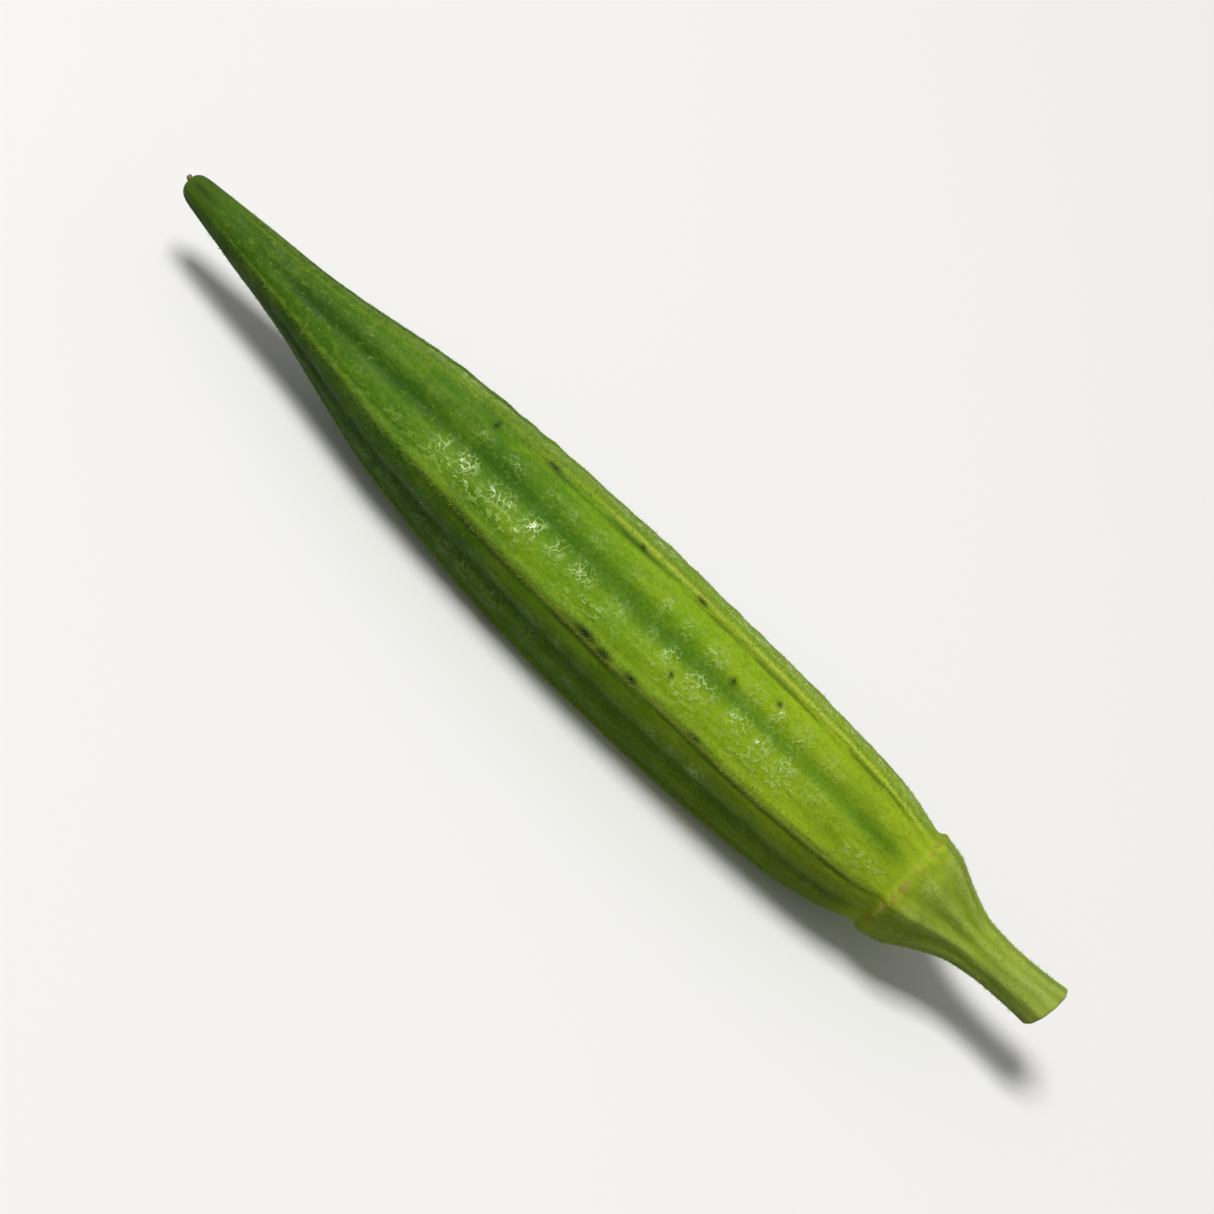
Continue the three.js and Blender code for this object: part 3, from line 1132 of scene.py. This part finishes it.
@dataclass
class PodSkin:
    """The pod from its tip to the cut stalk, as one closed skin.

    Its fine relief fades out at the poles, within the pole share of the tip's radius. The cut
    face is what lies within the cut margin of the stalk's end, in millimetres.
    """

    form: PodForm
    relief: SkinRelief
    outline_rows: OutlineRows = OutlineRows()
    columns: int = 200
    crest_crowding: float = 0.62
    pole_share: float = 0.3
    cut_margin: float = 0.15
    merge_distance: float = 1e-7
    shift: np.ndarray = field(init=False, default=None)
    piece: bpy.types.Object = field(init=False, default=None)

    def column_turn(self, even_turn: np.ndarray) -> np.ndarray:
        """Crowds evenly spaced columns on the crests."""
        ridge, off_crest = self.form.split_turn(even_turn)
        half = self.form.ridge_angle / 2
        t = off_crest / half
        crowded = self.crest_crowding * t + (1 - self.crest_crowding) * t**3
        return ridge * self.form.ridge_angle + half * crowded

    def build(self) -> bpy.types.Object:
        """Rolls a fine grid into the pod and shapes it.

        Returns:
            The pod's skin.
        """
        form = self.form
        outline = form.outline(self.outline_rows)
        rows = len(outline) - 1
        bpy.ops.object.select_all(action="DESELECT")
        bpy.ops.mesh.primitive_grid_add(x_subdivisions=rows, y_subdivisions=self.columns, size=1)
        piece = bpy.context.active_object
        piece.name = piece.data.name = "pod_skin"
        mesh = piece.data
        flat = mesh_points(mesh)
        row = np.rint((flat[:, 0] + 0.5) * rows).astype(int)
        # The last column is the first one again, so the seam closes.
        column = np.mod(np.rint((flat[:, 1] + 0.5) * self.columns), self.columns)
        turn = self.column_turn(2 * math.pi * column / self.columns - math.pi)
        crest_radius, station = outline[row, 0], outline[row, 1]
        radius, masks = self.relief.skin(crest_radius, station, turn)
        points = form.place(radius, station, turn)
        self.shift = self.seat(points)
        outward = points - form.place(0 * station, station, turn)
        outward /= np.maximum(np.linalg.norm(outward, axis=1, keepdims=True), 1e-6)
        points = points + self.shift
        off_poles = np.clip(crest_radius / form.tip_radius - self.pole_share, 0, 1)
        fine = self.relief.fine(points, masks) + self.relief.scar_relief(points, station)
        points = points + outward * (fine * off_poles)[:, None]
        points[:, 2] = np.maximum(points[:, 2], 0)
        write_points(mesh, points * MM)
        for name, values in masks.items():
            write_mask(mesh, name, values)
        write_mask(mesh, "along", station / form.total_length)
        write_mask(mesh, "scar", self.relief.scar_mask(points, station))
        write_mask(mesh, "cut", crest_radius / form.cut_radius)
        self.mark_cut(mesh, station)
        close_surface(piece, self.merge_distance)
        self.piece = piece
        return piece

    def seat(self, points: np.ndarray) -> np.ndarray:
        """Shift that sets the form down where its node lies.

        Args:
            points: Points of the form, with the tip near X = 0.

        Returns:
            X, Y and Z to add, in millimetres.
        """
        low, high = (np.array(corner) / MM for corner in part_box(POD_NODE))
        sideways = (low[1] + high[1] - points[:, 1].min() - points[:, 1].max()) / 2
        return np.array([low[0] - points[:, 0].min(), sideways, high[2] - points[:, 2].max()])

    def mark_cut(self, mesh: bpy.types.Mesh, station: np.ndarray) -> None:
        """Gives the faces of the cut end the second finish."""
        on_cut = station > self.form.total_length - self.cut_margin
        corners = np.empty(len(mesh.loops), dtype=int)
        mesh.loops.foreach_get("vertex_index", corners)
        number = on_cut[corners].reshape(-1, 4).all(axis=1).astype(int)
        mesh.polygons.foreach_set("material_index", number)

    def dress(self) -> None:
        """Gives the skin its finishes and its place in the frame."""
        self.piece.data.materials.append(FreshSkin().material())
        self.piece.data.materials.append(CutStalk().material())
        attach(self.piece, "root")
        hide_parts(POD_NODE)


@dataclass
class StyleStub:
    """What is left of the flower's style: a withered twist in the pit at the tip.

    It grows toward -X from a ring in the pit. Each growth is how far it goes on, how far it
    bends sideways and up, and by how much it widens, in millimetres and shares.
    """

    form: PodForm
    sides: int = 9
    root_radius: float = 0.42
    root_station: float = 0.95
    growths: tuple[tuple[float, float, float, float], ...] = (
        (0.45, 0.02, 0.03, 0.85),
        (0.35, 0.05, 0.06, 0.9),
        (0.3, 0.08, 0.1, 1.2),
        (0.22, 0.06, 0.12, 1.15),
        (0.12, 0.02, 0.1, 0.6),
    )
    tatter: float = 0.16
    tatters: tuple[Grain, ...] = tuple(Grain((0.5, 0.35, 0.35), shift) for shift in (3, 5, 8))
    merge_distance: float = 1e-8
    piece: bpy.types.Object = field(init=False, default=None)

    def build(self, shift: np.ndarray) -> bpy.types.Object:
        """Grows the stub ring by ring.

        Args:
            shift: Where the skin sits in the frame, in millimetres.

        Returns:
            The stub.
        """
        y, z = self.form.middle(np.array(self.root_station))
        root = (np.array([self.root_station, float(y), float(z)]) + shift) * MM
        bpy.ops.object.select_all(action="DESELECT")
        bpy.ops.mesh.primitive_circle_add(
            vertices=self.sides,
            radius=self.root_radius * MM,
            fill_type="NGON",
            location=root,
            rotation=(0, math.pi / 2, 0),
        )
        piece = bpy.context.active_object
        piece.name = piece.data.name = "style_stub"
        bpy.ops.object.transform_apply(location=True, rotation=True, scale=True)
        bpy.ops.object.mode_set(mode="EDIT")
        bpy.ops.mesh.select_all(action="SELECT")
        middle = Vector(root)
        for onward, sideways, upward, widening in self.growths:
            step = Vector((-onward, sideways, upward)) * MM
            bpy.ops.mesh.extrude_region_move(TRANSFORM_OT_translate={"value": step})
            middle += step
            bpy.ops.transform.resize(value=(1, widening, widening), center_override=middle)
        bpy.ops.object.mode_set(mode="OBJECT")
        put_in_order(piece)
        rounding = piece.modifiers.new("rounding", "SUBSURF")
        rounding.levels = rounding.render_levels = 2
        bpy.ops.object.modifier_apply(modifier=rounding.name)
        points = mesh_points(piece.data) / MM
        frayed = np.stack([grain.at(points) for grain in self.tatters], 1)
        write_points(piece.data, (points + self.tatter * frayed) * MM)
        close_surface(piece, self.merge_distance)
        put_in_order(piece)
        self.piece = piece
        return piece

    def dress(self) -> None:
        """Gives the stub its finish and its place in the frame."""
        self.piece.data.materials.append(WitheredStyle().material())
        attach(self.piece, "root")


class Growth(Enum):
    """Where a coat of hairs grows."""

    RIBS = "ribs"
    ALL_OVER = "all over"


@dataclass
class HairCoat:
    """A coat of short tapered hairs, each rooted in the skin and leaning toward the tip.

    Real hairs are about 0.03 mm thick. These are up to twice that, so that they show.
    """

    name: str
    growth: Growth
    count: int
    shortest: float
    longest: float
    root_radius: float
    lean: float
    seed: int
    spread: float = 0.3
    sunk: float = 0.02
    highest: float = 0.3
    first_along: float = 0.012
    last_along: float = 0.985
    piece: bpy.types.Object = field(init=False, default=None)

    def roots(self, skin: bpy.types.Object) -> tuple[np.ndarray, np.ndarray]:
        """Draws the places where hairs grow.

        Args:
            skin: The finished pod skin.

        Returns:
            Places in metres, and the skin's outward directions there.
        """
        mesh = skin.data
        mesh.calc_loop_triangles()
        corners = np.empty(3 * len(mesh.loop_triangles), dtype=int)
        mesh.loop_triangles.foreach_get("vertices", corners)
        corners = corners.reshape(-1, 3)
        points = mesh_points(mesh)
        masks = {}
        for name in ("crest", "along", "cap", "painted_lit_side"):
            values = np.empty(len(mesh.vertices))
            mesh.attributes[name].data.foreach_get("value", values)
            masks[name] = values[corners].mean(axis=1)
        edges = points[corners[:, 1:]] - points[corners[:, :1]]
        cross = np.cross(edges[:, 0], edges[:, 1])
        area = np.linalg.norm(cross, axis=1) / 2
        if self.growth is Growth.RIBS:
            want = masks["crest"] + 0.5 * masks["cap"] + 0.35 * masks["painted_lit_side"]
        else:
            want = 1 - 0.4 * masks["crest"]
        off_ends = (masks["along"] < self.last_along) & (masks["along"] > self.first_along)
        above_table = points[corners].mean(axis=1)[:, 2] > self.highest * MM
        weight = area * want * off_ends * above_table
        rng = np.random.default_rng(self.seed)
        chosen = rng.choice(len(corners), self.count, p=weight / weight.sum())
        u, v = rng.uniform(size=(2, self.count))
        flip = u + v > 1
        u, v = np.where(flip, 1 - u, u), np.where(flip, 1 - v, v)
        base = points[corners[chosen, 0]]
        places = base + u[:, None] * edges[chosen, 0] + v[:, None] * edges[chosen, 1]
        return places, cross[chosen] / (2 * area[chosen, None])

    def single_hair(self) -> tuple[np.ndarray, np.ndarray]:
        """Models one hair of unit size as a slim three-sided cone, then takes it away again.

        Returns:
            Its points, with the root at Z = 0 and the tip at Z = 1, and its triangles.
        """
        bpy.ops.object.select_all(action="DESELECT")
        bpy.ops.mesh.primitive_cone_add(vertices=3, radius1=1, depth=1, location=(0, 0, 0.5))
        bpy.ops.object.transform_apply(location=True, rotation=True, scale=True)
        hair = bpy.context.active_object
        points = mesh_points(hair.data)
        triangles = np.array([list(face.vertices) for face in hair.data.polygons])
        bpy.data.meshes.remove(hair.data)
        return points, triangles

    def build(self, skin: bpy.types.Object) -> bpy.types.Object:
        """Grows the hairs.

        Args:
            skin: The finished pod skin.

        Returns:
            The coat as one piece.
        """
        hair_points, hair_faces = self.single_hair()
        places, outward = self.roots(skin)
        rng = np.random.default_rng(self.seed + 1)
        length = rng.uniform(self.shortest, self.longest, self.count)[:, None] * MM
        swerve = rng.normal(0, self.spread, (self.count, 3))
        direction = outward + swerve + np.array([-self.lean, 0, 0])
        direction /= np.linalg.norm(direction, axis=1, keepdims=True)
        side = np.cross(direction, rng.normal(size=(self.count, 3)))
        side /= np.linalg.norm(side, axis=1, keepdims=True)
        other = np.cross(direction, side)
        root = places - outward * self.sunk * MM
        thick = self.root_radius * MM
        points = np.stack(
            [
                root + thick * (x * side + y * other) + z * length * direction
                for x, y, z in hair_points
            ],
            1,
        )
        low, high = (np.array(corner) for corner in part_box(POD_NODE))
        reach = self.highest * MM
        points = np.clip(points.reshape(-1, 3), [*(low - reach)[:2], 0.05 * MM], high + reach)
        first = len(hair_points) * np.arange(self.count)
        faces = (first[:, None, None] + hair_faces).reshape(-1, 3)
        mesh = bpy.data.meshes.new(self.name)
        mesh.from_pydata(points.tolist(), [], faces.tolist())
        mesh.update()
        self.piece = bpy.data.objects.new(self.name, mesh)
        bpy.context.collection.objects.link(self.piece)
        return self.piece

    def dress(self, finish: bpy.types.Material) -> None:
        """Gives the hairs their finish and their place in the frame."""
        self.piece.data.materials.append(finish)
        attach(self.piece, "root")


RIB_HAIRS = HairCoat(
    name="rib_hairs",
    growth=Growth.RIBS,
    count=21000,
    shortest=0.22,
    longest=0.55,
    root_radius=0.026,
    lean=0.7,
    seed=5,
)
FACE_DOWN = HairCoat(
    name="face_down",
    growth=Growth.ALL_OVER,
    count=17000,
    shortest=0.1,
    longest=0.26,
    root_radius=0.017,
    lean=0.6,
    seed=9,
)


@dataclass
class Studio:
    """A pale table, soft light and the camera that looks down on the pod."""

    view_turn: float = math.radians(49.8)
    image_slope: float = math.radians(44.5)
    distance: float = 0.42
    frame_width: float = 0.144
    sensor_width: float = 36.0
    aim: tuple[float, float, float] = (0.0, 0.0, 0.0095)
    key_direction: tuple[float, float, float] = (-0.35, -0.17, 0.92)
    key_distance: float = 2.4
    key_size: float = 0.8
    key_power: float = 48.5
    sky_light: float = 0.26
    table_light: float = 0.17
    level_blend: float = 0.2
    horizon_light: float = 0.5
    horizon_reach: float = 0.16

    def table(self) -> bpy.types.Object:
        """Lays the table top."""
        bpy.ops.object.select_all(action="DESELECT")
        bpy.ops.mesh.primitive_plane_add(size=3)
        floor = bpy.context.active_object
        floor.name = "table_top"
        floor.data.materials.append(PaleTable().material())
        floor.visible_diffuse = False
        return floor

    def camera(self) -> bpy.types.Object:
        """Sets the camera over the pod's side, with the pod sloping down to the right."""
        back = Vector((0, -math.sin(self.view_turn), math.cos(self.view_turn)))
        along = Vector((1, 0, 0))
        down = Vector((0, -math.cos(self.view_turn), -math.sin(self.view_turn)))
        right = math.cos(self.image_slope) * along - math.sin(self.image_slope) * down
        up = back.cross(right)
        turn = Matrix((right, up, back)).transposed().to_4x4()
        data = bpy.data.cameras.new("camera")
        data.sensor_width = self.sensor_width
        data.lens = self.sensor_width * self.distance / self.frame_width
        data.clip_start = 0.01
        camera = bpy.data.objects.new("camera", data)
        camera.matrix_world = Matrix.Translation(Vector(self.aim) + back * self.distance) @ turn
        bpy.context.collection.objects.link(camera)
        bpy.context.scene.camera = camera
        return camera

    def key_light(self) -> bpy.types.Object:
        """Hangs a square soft light that faces the pod."""
        data = bpy.data.lights.new("key_light", "AREA")
        data.size = self.key_size
        data.energy = self.key_power
        lamp = bpy.data.objects.new("key_light", data)
        direction = Vector(self.key_direction)
        lamp.location = direction.normalized() * self.key_distance
        lamp.rotation_euler = direction.to_track_quat("Z", "Y").to_euler()
        bpy.context.collection.objects.link(lamp)
        return lamp

    def room(self) -> None:
        """Surrounds the pod with soft white light, weaker from the table and paler far off."""
        world = bpy.data.worlds.new("soft_room")
        bpy.context.scene.world = world
        world.use_nodes = True
        tree = world.node_tree
        direction = add_node(tree, "TexCoord").outputs["Generated"]
        height = add_node(tree, "SeparateXYZ", {"Vector": direction}).outputs["Z"]
        limits = {
            "Value": height,
            "From Min": -self.level_blend,
            "From Max": self.level_blend,
            "To Min": self.table_light,
            "To Max": self.sky_light,
        }
        room_light = add_node(tree, "MapRange", limits).outputs["Result"]
        from_horizon = add_node(tree, "Math", {0: height}, operation="ABSOLUTE").outputs[0]
        limits = {
            "Value": from_horizon,
            "From Max": self.horizon_reach,
            "To Min": self.horizon_light,
            "To Max": 0.0,
        }
        fade = add_node(tree, "MapRange", limits, interpolation_type="SMOOTHSTEP")
        lights = {0: room_light, 1: fade.outputs["Result"]}
        strength = add_node(tree, "Math", lights, operation="ADD").outputs[0]
        background = tree.nodes["Background"]
        background.inputs["Color"].default_value = (1, 1, 1, 1)
        tree.links.new(strength, background.inputs["Strength"])

    def build(self) -> None:
        """Sets the whole studio up."""
        self.table()
        self.camera()
        self.key_light()
        self.room()
        bpy.context.scene.view_settings.view_transform = "Standard"


def main() -> None:
    """Builds the pod piece by piece and reports each one."""
    logging.basicConfig(level=logging.INFO, format="%(name)s: %(message)s")
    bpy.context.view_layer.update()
    form = PodForm()
    skin = PodSkin(form, SkinRelief(form))
    skin.build()
    skin.dress()
    LOG.info("pod skin: %d faces", len(skin.piece.data.polygons))
    stub = StyleStub(form)
    stub.build(skin.shift)
    stub.dress()
    LOG.info("style stub: %d faces", len(stub.piece.data.polygons))
    for coat, finish in ((RIB_HAIRS, PlantHair()), (FACE_DOWN, FINE_DOWN)):
        coat.build(skin.piece)
        coat.dress(finish.material())
        LOG.info("%s: %d hairs", coat.name, coat.count)
    Studio().build()


if __name__ == "__main__":
    main()
